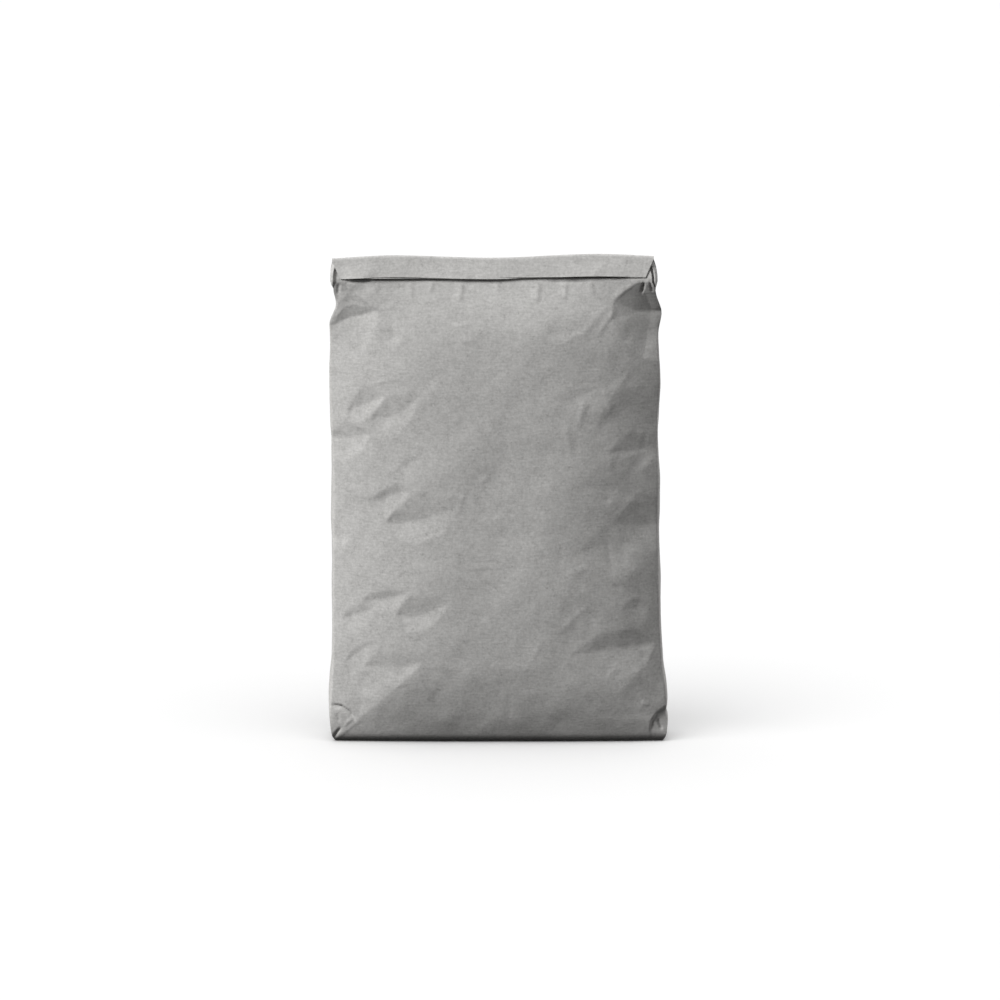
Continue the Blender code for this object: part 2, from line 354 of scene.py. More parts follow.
# Each dent is a rim that stays on the smooth form, as (across, height), and a fold inside it, as (across,
# height, rise), which is pressed in where its rise is negative and stands out where it is positive.
FRONT_DENTS = (
    # Left shoulder, under the fold's end.
    (((-214, 495), (-200, 495), (-184, 499), (-176, 508), (-167, 511), (-151, 509), (-137, 505),
      (-140, 483), (-153, 458), (-170, 441), (-200, 439), (-214, 439)),
     ((-212, 483, -1.8), (-188, 487, -2.3), (-172, 496, -3.7), (-161, 499, -3.8), (-150, 502, -2.9),
      (-137, 505, 0))),
    (((-175, 535), (-135, 536), (-92, 530), (-103, 508), (-135, 502), (-163, 515)),
     ((-169, 530, 0), (-152, 518, 1.6), (-136, 507, 0.6))),
    (((-138, 482), (-121, 490), (-107, 475), (-121, 461), (-138, 468)),
     ((-136, 474, 0), (-122, 473, -1.2), (-109, 475, 0))),
    # Left side, upper.
    (((-173, 388), (-167, 402), (-153, 419), (-140, 416), (-130, 408), (-137, 394), (-156, 377),
      (-170, 377)),
     ((-173, 388, 0), (-167, 391, -1.3), (-156, 396, -2.1), (-141, 403, -2.0), (-130, 408, 0))),
    (((-148, 380), (-135, 399), (-126, 407), (-107, 413), (-88, 410), (-99, 383), (-117, 360), (-138, 360)),
     ((-148, 380, 0), (-140, 381, -1.3), (-126, 383, -2.2), (-111, 389, -1.9), (-88, 410, 0))),
    (((-206, 358), (-187, 368), (-176, 379), (-161, 373), (-146, 363), (-156, 343), (-176, 331),
      (-206, 336)),
     ((-206, 358, -0.6), (-186, 358, -2.4), (-165, 360, -2.4), (-154, 363, -1.6), (-146, 363, 0))),
    (((-121, 319), (-106, 337), (-87, 341), (-92, 326), (-108, 314)),
     ((-121, 319, 0), (-104, 328, -0.8), (-87, 341, 0))),
    # Left side, middle.
    (((-174, 301), (-139, 308), (-116, 311), (-107, 305), (-129, 290), (-148, 285), (-162, 288)),
     ((-168, 298, 0.3), (-150, 291, 0.6), (-132, 300, 0.5), (-115, 309, 0))),
    (((-152, 289), (-132, 299), (-115, 308), (-100, 296), (-115, 280), (-130, 265), (-142, 271)),
     ((-148, 286, 0), (-129, 291, -1.5), (-110, 298, -1.5), (-100, 296, 0))),
    (((-130, 263), (-116, 279), (-100, 296), (-79, 298), (-47, 282), (-60, 255), (-95, 237), (-119, 244)),
     ((-130, 263, 0), (-123, 263, -1.9), (-110, 262, -3.2), (-84, 267, -2.7), (-47, 282, 0))),
    (((-206, 257), (-189, 263), (-171, 242), (-180, 224), (-206, 224)),
     ((-206, 244, -0.8), (-188, 244, -1.7), (-180, 244, -1.8), (-171, 242, 0))),
    # Left side, lower.
    (((-158, 168), (-148, 178), (-130, 184), (-101, 182), (-110, 168), (-122, 158), (-142, 157)),
     ((-158, 168, 0), (-152, 168, -1.3), (-138, 171, -2.0), (-120, 175, -2.0), (-101, 182, 0))),
    (((-119, 153), (-110, 167), (-99, 179), (-72, 177), (-53, 172), (-67, 152), (-85, 135), (-107, 134)),
     ((-119, 153, 0), (-112, 152, -1.5), (-99, 152, -2.4), (-85, 156, -2.0), (-53, 172, 0))),
    (((-183, 145), (-171, 160), (-156, 167), (-140, 166), (-146, 147), (-162, 130), (-176, 131)),
     ((-183, 145, 0), (-169, 151, -1.7), (-152, 158, -1.3), (-140, 166, 0))),
    (((-181, 93), (-169, 110), (-153, 121), (-136, 127), (-140, 112), (-153, 95), (-169, 82)),
     ((-181, 93, 0), (-167, 105, -0.8), (-153, 115, -0.7), (-136, 127, 0))),
    (((-155, 93), (-143, 106), (-133, 122), (-116, 119), (-102, 111), (-86, 100), (-102, 83), (-118, 70),
      (-141, 76)),
     ((-155, 93, 0), (-146, 93, -1.1), (-132, 93, -1.7), (-110, 95, -1.5), (-86, 100, 0))),
    # Bottom left, the long fold and the corner.
    (((-167, 25), (-172, 49), (-132, 82), (-86, 100), (-65, 66), (-100, 29), (-144, 14)),
     ((-164, 28, 0), (-139, 50, 2.1), (-115, 71, 1.7), (-86, 100, 0))),
    (((-179, 47), (-160, 59), (-137, 50), (-163, 30), (-174, 39)),
     ((-179, 47, 0), (-159, 48, -1.2), (-137, 50, 0))),
    # Right shoulder, the large dent under the fold's end.
    (((131, 516), (144, 527), (161, 538), (177, 533), (214, 525), (214, 439), (165, 449), (143, 469),
      (128, 494)),
     ((131, 516, 0), (145, 510, -4.1), (161, 504, -8.2), (176, 503, -11.0), (169, 520, -5.5),
      (176, 503, -11.0), (212, 501, -11.2))),
    (((46, 481), (66, 496), (95, 494), (100, 484), (72, 468)),
     ((49, 481, 0), (66, 479, -0.9), (82, 482, -0.9), (100, 484, 0))),
    # Right side, upper.
    (((53, 399), (81, 417), (117, 421), (107, 401), (76, 388)),
     ((53, 399, 0), (80, 403, -0.7), (98, 409, -0.6), (117, 421, 0))),
    (((104, 369), (102, 390), (116, 415), (150, 441), (168, 419), (151, 379), (122, 357)),
     ((113, 372, 0.3), (118, 392, 1.1), (133, 412, 1.2), (150, 437, 0))),
    (((162, 377), (175, 388), (200, 379), (200, 360), (173, 363)),
     ((162, 377, 0), (176, 373, -0.4), (200, 370, 0))),
    (((126, 342), (137, 356), (149, 365), (158, 370), (167, 363), (176, 351), (179, 336), (162, 319),
      (130, 320)),
     ((126, 342, 0), (141, 343, -1.3), (157, 344, -1.8), (169, 346, -1.5), (176, 348, 0))),
    (((93, 304), (116, 329), (174, 341), (182, 308), (174, 283), (122, 285)),
     ((93, 304, 0), (133, 301, -1.2), (176, 303, 0))),
    # Right side, middle.
    (((131, 262), (159, 293), (174, 291), (200, 278), (203, 260), (203, 242), (175, 220), (142, 232)),
     ((131, 262, 0), (149, 258, -1.7), (165, 256, -2.5), (176, 258, -2.4), (203, 257, -1.2))),
    (((79, 221), (94, 233), (107, 245), (130, 261), (158, 235), (142, 206), (105, 205)),
     ((79, 221, 0), (105, 231, -0.5), (123, 234, -0.8), (142, 235, -0.9), (158, 235, 0))),
    (((130, 222), (163, 232), (184, 219), (185, 176), (163, 165), (126, 189)),
     ((155, 226, 0.3), (158, 204, 1.1), (156, 177, 0))),
    # Right side, lower.
    (((142, 161), (153, 171), (166, 176), (174, 165), (168, 143), (149, 145)),
     ((142, 161, 0), (149, 161, -0.6), (159, 161, -1.1), (174, 165, 0))),
    (((82, 107), (98, 119), (115, 131), (140, 136), (162, 136), (181, 119), (169, 89), (128, 74),
      (103, 85)),
     ((82, 107, 0), (90, 108, -0.6), (106, 110, -1.3), (133, 114, -1.8), (165, 117, -1.9), (181, 119, 0))),
    (((131, 96), (151, 111), (182, 115), (193, 60), (170, 44), (138, 60)),
     ((163, 110, 0.3), (161, 85, 1.5), (164, 54, 0.4))),
    # Bottom right, the corner.
    (((228, 51), (195, 44), (189, 41), (182, 36), (176, 27), (174, 13), (179, 0), (228, 0)),
     ((220, 38, -4.2), (192, 37, -3.8), (184, 33, -2.1), (179, 25, -1.6), (177, 13, -0.6))),
)

# Narrow folds, as the points that each one follows, its widths to the left and the right of that way, and
# its rise.
FRONT_FOLDS = (
    # Puckers under the fold.
    (((-98, 522), (-100, 537)), (7, 3), 0.7),
    (((-77, 524), (-75, 538)), (8, 3), 0.9),
    (((-44, 514), (-41, 537)), (9, 3), 1.0),
    (((0, 524), (-2, 538)), (7, 3), 0.7),
    (((44, 514), (46, 537)), (9, 3), 1.2),
    (((74, 515), (78, 538)), (7, 3), 0.9),
    (((109, 522), (104, 538)), (8, 3), 0.7),
    # Gap under the strip.
    (((-174, 538), (-144, 538)), (3.5, 3.5), -1.6),
    (((53, 538), (104, 538)), (3.5, 3.5), -1.2),
    # Ridges on the left shoulder.
    (((-168, 526), (-171, 538)), (3, 14), 0.9),
    (((-137, 505), (-154, 520), (-169, 528)), (5, 4), 1.0),
    (((-183, 521), (-182, 536)), (3, 3), -1.2),
    (((-189, 498), (-183, 513), (-169, 528)), (4, 8), 0.7),
    # A faint fold down from the left dent's tip.
    (((-110, 461), (-126, 489), (-137, 505)), (3, 3), -0.5),
    # Ridges from the right dent's tip.
    (((92, 473), (112, 497), (132, 517)), (7, 5), 0.45),
    (((112, 474), (122, 491), (134, 507)), (5, 4), 0.4),
    (((129, 516), (144, 528), (159, 538)), (6, 3), 0.5),
    # Pocket under the right end of the strip.
    (((163, 523), (166, 537)), (2.0, 2.0), -2.8),
    (((176, 525), (172, 538)), (2.0, 2.0), -1.8),
    # Right side, small creases.
    (((176, 346), (167, 358), (159, 368)), (2.5, 2.5), 0.5),
    (((142, 184), (123, 190)), (3, 3), -0.5),
    (((129, 286), (122, 290)), (3, 3), -0.6),
    # Left side, small creases.
    (((-117, 134), (-127, 139)), (3, 3), -0.5),
    (((-110, 428), (-135, 423), (-151, 419)), (3, 4), 0.4),
    # Bottom left corner.
    (((-164, 27), (-173, 37), (-182, 43), (-195, 45)), (3.8, 2.4), -3.0),
    (((-192, 4), (-187, 12), (-182, 18)), (2.4, 2.4), -2.2),
    (((-189, 2), (-178, 13), (-164, 24), (-156, 32)), (4, 3), 0.4),
    (((-184, 24), (-187, 36)), (3, 3), -0.8),
    (((-180, 18), (-174, 25), (-167, 31)), (3, 3), 0.7),
    # Bottom right corner.
    (((178, 14), (179, 24), (184, 33), (192, 38)), (2.2, 1.8), -1.6),
    (((190, 14), (187, 21), (184, 29)), (2.6, 2.0), -1.7),
    (((164, 48), (175, 45)), (5, 3), 0.5),
)

# Lifts and creases of the folded strip, in the same form.
STRIP_FOLDS = (
    (((-178, 541), (-140, 541)), (16, 5), 2.7),
    (((-98, 541), (26, 541)), (18, 5), 2.0),
    (((58, 541), (152, 541)), (18, 5), 2.0),
    (((-153, 562), (-139, 546)), (7, 4), 0.6),
    (((-112, 544), (-107, 562)), (10, 4), 0.5),
    (((-31, 543), (-34, 561)), (8, 5), 0.4),
    (((62, 543), (57, 562)), (9, 5), 0.5),
    (((104, 541), (121, 561)), (5, 7), 0.6),
    (((143, 546), (129, 562)), (6, 4), 0.5),
)

# Dents on the back's upright edges, as side, height, size and depth, and how far the edges lie from the
# back's middle. All have one outline, in shares of the size out from the edge and up from the height, and
# one fold, with shares of the depth.
BACK_EDGE_DENTS = (
    (1, 470, 46, 5.4), (1, 372, 38, 4.0), (1, 284, 52, 5.8), (1, 178, 44, 4.8), (1, 92, 40, 4.2),
    (-1, 486, 50, 6.2), (-1, 396, 40, 4.2), (-1, 318, 34, 3.4), (-1, 226, 54, 6.0), (-1, 128, 42, 4.6),
    (-1, 62, 36, 3.6),
)
EDGE_DENT_RIM = (
    (0.55, 0.10), (0.10, 0.34), (-0.35, 0.42), (-0.95, 0.05), (-0.50, -0.45), (0.10, -0.50), (0.55, -0.35),
)
EDGE_DENT_FOLD = ((0.55, -0.05, 0), (0.10, -0.03, -1.0), (-0.35, 0.02, -0.9), (-0.95, 0.05, 0))
BACK_EDGE = 187

# Shallow buckles across the back, then the corner folds of the bottom and the gathers under the neck.
BACK_DENTS = (
    (((-62, 402), (-20, 424), (28, 430), (64, 412), (34, 380), (-18, 374)),
     ((-62, 402, 0), (-18, 401, -2.4), (26, 404, -2.2), (64, 412, 0))),
    (((18, 300), (58, 322), (104, 326), (88, 288), (50, 276)),
     ((18, 300, 0), (54, 300, -2.2), (86, 308, -1.8), (104, 326, 0))),
    (((-116, 262), (-84, 286), (-34, 284), (-8, 262), (-52, 236), (-92, 234)),
     ((-116, 262, 0), (-74, 261, -2.6), (-36, 260, -2.0), (-8, 262, 0))),
    (((-30, 168), (6, 190), (58, 196), (92, 178), (50, 148), (4, 142)),
     ((-30, 168, 0), (8, 168, -2.2), (50, 172, -2.0), (92, 178, 0))),
    (((-128, 120), (-92, 142), (-52, 136), (-70, 100), (-104, 92)),
     ((-128, 120, 0), (-94, 120, -2.2), (-52, 136, 0))),
)
BACK_FOLDS = (
    (((158, 16), (124, 46), (92, 84)), (22, 14), 2.0),
    (((-156, 16), (-128, 40), (-102, 72)), (14, 20), 1.8),
    (((-124, 474), (-116, 522)), (12, 9), 1.2),
    (((-52, 482), (-42, 522)), (11, 10), 0.9),
    (((58, 472), (66, 522)), (11, 12), 1.2),
    (((126, 486), (130, 522)), (10, 9), 0.9),
)

# Small random creases, with the ranges that their places and sizes are drawn from.
FRONT_CREASES = 64
BACK_CREASES = 110
CREASE_REACH = 168
CREASE_HEIGHTS = (25, 515)
CREASE_HALF_LENGTHS = (7, 26)
CREASE_WIDTHS = (2.5, 8)
CREASE_RISES = (0.12, 0.45)

# Soft swells, as the shortest and the longest wave in metres and the usual height of all waves together.
SWELL_WAVES = 26
LONG_SWELLS = (0.045, 0.130, 0.55)
SHORT_SWELLS = (0.018, 0.040, 0.10)

# Heights over which the dents and the swells set in above the flat bottom, and over which the pressed neck
# takes the given share of the swells away.
DENTS_FROM = (0, 4)
SWELLS_FROM = (2, 30)
NECK_FROM = (500, 530)
NECK_GRIP = 0.6

# How many places in from the front's edges its dents turn from straight back to square to the paper.
DENTS_TURN = (3, 20)

# How often heights are blurred to give a place's surroundings, and the angle past which a crease is sharp.
SURROUNDINGS_BLUR = 14
SHARP_CREASE = math.radians(50)
SKIN_SEED = 20

# Millimetres in a metre, and a place across the paper that lies off every dent and fold.
MILLIMETRES = 1000
ELSEWHERE = 1e4


def raised(across, height, patches):
    """Rise that creased patches give the places (across, height): straight facets between their points."""
    inside_rim_only, precision, with_origins, sliver = 1, 1e-5, True, 1e-6
    rise = np.zeros(across.shape)
    for rim, fold in patches:
        corners = [point[:2] for point in (*rim, *fold)]
        rises = [0.0] * len(rim) + [point[2] for point in fold]
        first = len(rim)
        folds = [(first + i, first + i + 1) for i in range(len(fold) - 1)]
        outline = [list(range(first))]
        split = delaunay_2d_cdt(corners, folds, outline, inside_rim_only, precision, with_origins)
        found, faces, origins = split[0], split[2], split[3]
        at = np.array([tuple(corner) for corner in found])
        value = [max((rises[i] for i in ids), key=abs, default=0.0) for ids in origins]
        low, high = at.min(axis=0), at.max(axis=0)
        near = (across > low[0]) & (across < high[0]) & (height > low[1]) & (height < high[1])
        x, z = across[near], height[near]
        local = np.zeros(x.shape)
        for a, b, c in faces:
            (ax, az), (bx, bz), (cx, cz) = at[a], at[b], at[c]
            area = (bx - ax) * (cz - az) - (cx - ax) * (bz - az)
            if abs(area) < sliver:
                continue
            wb = ((x - ax) * (cz - az) - (cx - ax) * (z - az)) / area
            wc = ((bx - ax) * (z - az) - (x - ax) * (bz - az)) / area
            wa = 1 - wb - wc
            inside = (wa >= 0) & (wb >= 0) & (wc >= 0)
            local[inside] = (wa * value[a] + wb * value[b] + wc * value[c])[inside]
        rise[near] += local
    return rise


def folded(across, height, folds):
    """Rise that narrow folds give the places (across, height): straight slopes that fade at their ends."""
    quarter = 0.25
    rise = np.zeros(across.shape)
    for points, widths, top in folds:
        at = np.array(points, float)
        runs = np.linalg.norm(np.diff(at, axis=0), axis=1)
        low, high = at.min(axis=0) - max(widths), at.max(axis=0) + max(widths)
        near = (across > low[0]) & (across < high[0]) & (height > low[1]) & (height < high[1])
        x, z = across[near], height[near]
        local = np.zeros(x.shape)
        for (ax, az), (bx, bz), run, before in zip(at, at[1:], runs, np.cumsum(runs) - runs):
            along = ((x - ax) * (bx - ax) + (z - az) * (bz - az)) / run
            off = ((x - ax) * (bz - az) - (z - az) * (bx - ax)) / run
            beyond = along - np.clip(along, 0, run)
            slope = 1 - np.hypot(off, beyond) / np.where(off < 0, widths[0], widths[1])
            share = (before + np.clip(along, 0, run)) / runs.sum()
            fade = np.clip(share / quarter, 0, 1) * np.clip((1 - share) / quarter, 0, 1)
            local = np.maximum(local, slope * fade)
        rise[near] += top * local
    return rise


def edge_dent(side, height, size, depth, turn):
    """A dent that wraps round an upright edge of the back, with its point towards the back's middle."""

    def place(out, up):
        return side * (BACK_EDGE + size * out), height + size * up * turn

    rim = [place(out, up) for out, up in EDGE_DENT_RIM]
    fold = [(*place(out, up), share * depth) for out, up, share in EDGE_DENT_FOLD]
    return rim, fold


def small_creases(count, rng):
    """Short straight creases at random places, each a narrow ridge or groove."""
    for _ in range(count):
        x, z = rng.uniform(-CREASE_REACH, CREASE_REACH), rng.uniform(*CREASE_HEIGHTS)
        angle = rng.uniform(0, math.pi)
        half_length = rng.uniform(*CREASE_HALF_LENGTHS)
        widths = rng.uniform(*CREASE_WIDTHS, size=2)
        rise = rng.choice((-1, 1)) * rng.uniform(*CREASE_RISES)
        run_x, run_z = half_length * math.cos(angle), half_length * math.sin(angle)
        yield ((x - run_x, z - run_z), (x + run_x, z + run_z)), widths, rise


def soft_swells(points, rng, shortest, longest, height):
    """Gentle random swells in millimetres, made of long waves that run in all directions."""
    total = np.zeros(points.shape[:2])
    for _ in range(SWELL_WAVES):
        direction = rng.normal(size=3)
        direction /= np.linalg.norm(direction)
        length = rng.uniform(shortest, longest)
        total += np.sin(points @ direction * 2 * math.pi / length + rng.uniform(0, 2 * math.pi)) * length
    return height * total / total.std()


def blurred(values, passes):
    """Values on the rings, softened between neighbours up the sack and round it."""
    for _ in range(passes):
        values = (np.roll(values, 1, axis=1) + 2 * values + np.roll(values, -1, axis=1)) / 4
        padded = np.concatenate((values[:1], values, values[-1:]))
        values = (padded[:-2] + 2 * padded[1:-1] + padded[2:]) / 4
    return values


def unit(vectors):
    return vectors / np.linalg.norm(vectors, axis=2, keepdims=True)


def outward(points):
    """Unit vectors that point out of the sack at each point of its rings."""
    round_it = np.roll(points, -1, axis=1) - np.roll(points, 1, axis=1)
    return unit(np.cross(round_it, np.gradient(points, axis=0)))


def carried_round(rises):
    """The front's rises, carried round its edges and faded out by the middle of each gusset."""
    half = GUSSET_STEPS // 2
    fade = 1 - np.arange(1, half + 1) / half
    carried = rises.copy()
    carried[:, FRONT_STEPS + 1 : FRONT_STEPS + 1 + half] = rises[:, FRONT_STEPS, None] * fade
    carried[:, -half:] = rises[:, :1] * fade[::-1]
    return carried


def front_pushes(normals):
    """Ways that the front's rises move it: along its normals, but straight out at its edges and gussets."""
    column = np.arange(normals.shape[1])
    inside = np.where(column > FRONT_STEPS, 0, np.minimum(column, FRONT_STEPS - column))
    straight = np.array((0.0, -1.0, 0.0))
    return unit(mixed(straight, normals, smooth_step(*DENTS_TURN, inside)[None, :, None]))


def creased_form():
    """The sack's points with their dents, creases and swells, and each one's rise over its surroundings."""
    form, across = smooth_form()
    rng = np.random.default_rng(SKIN_SEED)
    height = form[..., 2] * MILLIMETRES
    ring = np.arange(len(form))[:, None]
    body = ring < BODY_RINGS + NECK_RINGS // 2
    strip = ring >= BODY_RINGS + NECK_RINGS + FOLD_RINGS
    whole_round = across.max(axis=1, keepdims=True) - across.min(axis=1, keepdims=True)
    across_back = np.where(across > 0, 0.5, -0.5) * whole_round - across
    front = np.where(body, across * MILLIMETRES, ELSEWHERE)
    back = np.where(body, across_back * MILLIMETRES, ELSEWHERE)
    on_strip = np.where(strip, form[..., 0] * MILLIMETRES, ELSEWHERE)
    grounded = smooth_step(*DENTS_FROM, height)

    dented = raised(front, height, FRONT_DENTS) + folded(front, height, FRONT_FOLDS)
    dented += folded(front, height, small_creases(FRONT_CREASES, rng))
    dented = carried_round(dented)
    turns = rng.choice((-1, 1), size=len(BACK_EDGE_DENTS))
    edge_dents = [edge_dent(*dent, turn) for dent, turn in zip(BACK_EDGE_DENTS, turns)]
    behind = blurred(raised(back, height, (*BACK_DENTS, *edge_dents)), 1) + folded(back, height, BACK_FOLDS)
    behind += folded(back, height, small_creases(BACK_CREASES, rng))
    soft = soft_swells(form, rng, *LONG_SWELLS) + soft_swells(form, rng, *SHORT_SWELLS)
    soft *= body * smooth_step(*SWELLS_FROM, height) * (1 - NECK_GRIP * smooth_step(*NECK_FROM, height))

    normals = outward(form)
    moved = normals * (behind * grounded + soft)[..., None]
    moved += front_pushes(normals) * (dented * grounded)[..., None]
    moved[..., 1] -= folded(on_strip, height, STRIP_FOLDS)
    risen = dented + behind
    return form + moved / MILLIMETRES, blurred(risen, 1) - blurred(risen, SURROUNDINGS_BLUR)


def sack_mesh(points, ridge):
    """The closed skin over the rings, with its height above its surroundings and its place on the paper."""
    rings, count = points.shape[:2]
    ids = np.arange(rings * count).reshape(rings, count)
    after = np.roll(ids, -1, axis=1)
    quads = np.stack((ids[:-1], after[:-1], after[1:], ids[1:]), axis=-1).reshape(-1, 4)
    faces = quads.tolist() + [ids[0, ::-1].tolist(), ids[-1].tolist()]
    mesh = bpy.data.meshes.new("paper_sack_skin")
    mesh.from_pydata(points.reshape(-1, 3).tolist(), [], faces)
    mesh.update()
    attribute = mesh.attributes.new("ridge", "FLOAT", "POINT")
    attribute.data.foreach_set("value", ridge.astype(np.float32).ravel())

    around, whole = lengths_round(points)
    around = np.hstack((around, whole)) - 0.5 * whole
    steps_up = np.linalg.norm(np.diff(points[:, FRONT_STEPS // 2], axis=0), axis=1)
    up = np.concatenate(([0], np.cumsum(steps_up)))[:, None] + 0 * around
    sheet = np.stack((around, up), axis=-1)
    sides = np.stack((sheet[:-1, :-1], sheet[:-1, 1:], sheet[1:, 1:], sheet[1:, :-1]), axis=2)
    caps = np.concatenate((points[0, ::-1, :2], points[-1, :, :2]))
    places = np.concatenate((sides.reshape(-1, 2), caps)).astype(np.float32)
    mesh.uv_layers.new(name="paper_sheet").data.foreach_set("uv", places.ravel())
    return mesh


sack = bpy.data.objects.new("paper_sack_skin", sack_mesh(*creased_form()))
bpy.context.collection.objects.link(sack)
sack.data.shade_smooth()
sack.data.set_sharp_from_angle(angle=SHARP_CREASE)


# Sack paper.
# Uncoated grey kraft paper, made on a wire and left rough. It is matt, cloudy where the fibres lie thicker,
# streaked by the wire, and flecked with dark bark and cement dust. Folds are paler on their ridges and
# darker in their grooves, partly wear and dirt and partly painted highlight and painted shade.

def linear(hex_colour):
    """The linear colour that an sRGB hex value stands for."""
    values = [int(hex_colour[i : i + 2], 16) / 255 for i in (1, 3, 5)]
    return [v / 12.92 if v <= 0.04045 else ((v + 0.055) / 1.055) ** 2.4 for v in values] + [1.0]


def add(tree, kind, inputs=None, links=None, **settings):
    """A node of this kind with its settings, its input values and the sockets that feed it."""
    node = tree.nodes.new(kind)
    for name, value in settings.items():
        setattr(node, name, value)
    for name, value in (inputs or {}).items():
        node.inputs[name].default_value = value
    for name, socket in (links or {}).items():
        tree.links.new(socket, node.inputs[name])
    return node


# The paper between its thinnest and thickest places, what lies on it, and the paler and darker tones of its
# folds.
PAPER_THIN = "#8F8E8C"
PAPER_THICK = "#C0BFBD"
PIT = "#7B7A78"
DUST = "#BDBCBA"
# Paler ridges: rubbed wear and a painted highlight.
RUBBED_AND_HIGHLIGHT = "#BBBAB8"
# Darker grooves: a little dirt and painted shade.
DIRT_AND_SHADE = "#8D8C8A"

# Paper's refraction with the weak sheen that rough fibres leave of it, and its roughness from the smoothest
# places to the roughest.
PAPER_IOR = 1.45
PAPER_SHEEN = 0.22
ROUGHNESS = {"To Min": 0.82, "To Max": 0.96}

# Each pattern's size is in metres. The grain and the fibres are drawn two to three times as coarse as real
# ones, because the real ones are finer than the picture can show.
CLOUDS = {"Scale": 1 / 0.034, "Detail": 2.0, "Roughness": 0.55}
BLOTCHES = {"Scale": 1 / 0.0100, "Detail": 3.0, "Roughness": 0.75}
STREAKS = {"Scale": 1 / 0.0023, "Detail": 2.0, "Roughness": 0.65}
WIRE_MARKS = {"Scale": 1 / 0.0015, "Detail": 0.0, "Roughness": 0.5}
GRAIN = {"Scale": 1 / 0.0028, "Detail": 1.0, "Roughness": 0.6}
PITS = {"Scale": 1 / 0.0042, "Detail": 1.0, "Roughness": 0.8}
DUST_PATCHES = {"Scale": 1 / 0.055, "Detail": 3.0, "Roughness": 0.7}

# How strongly the clouds, the blotches, the streaks, the wire marks and the grain show in the thickness,
# how many times as long as wide the streaks and marks are, and how deep the fibres' relief is in metres.
LAYER_SHARES = (0.14, 0.46, 0.58, 0.14, 0.70)
STREAK_STRETCH = 5
FIBRE_RELIEF = 0.00012

# How dark pits are, the noise that opens one, and the thin places of the blotches that pits crowd in.
PIT_OPENING = {"From Min": 0.60, "From Max": 0.72, "To Max": 0.38}
PIT_CROWDING = {"From Min": 0.56, "From Max": 0.40}

# Where each cover starts to show and where it is whole: dust by the noise of its patches, and the others by
# how many millimetres the paper stands out of its surroundings.
DUST_COVER = {"From Min": 0.60, "From Max": 1.00}
# Ridges turn paler, as rubbed wear and a painted highlight.
RUBBED_AND_HIGHLIGHT_COVER = {"From Min": 0.25, "From Max": 2.60}
# Grooves turn darker, as a little dirt and painted shade.
DIRT_AND_SHADE_COVER = {"From Min": -0.40, "From Max": -3.50}


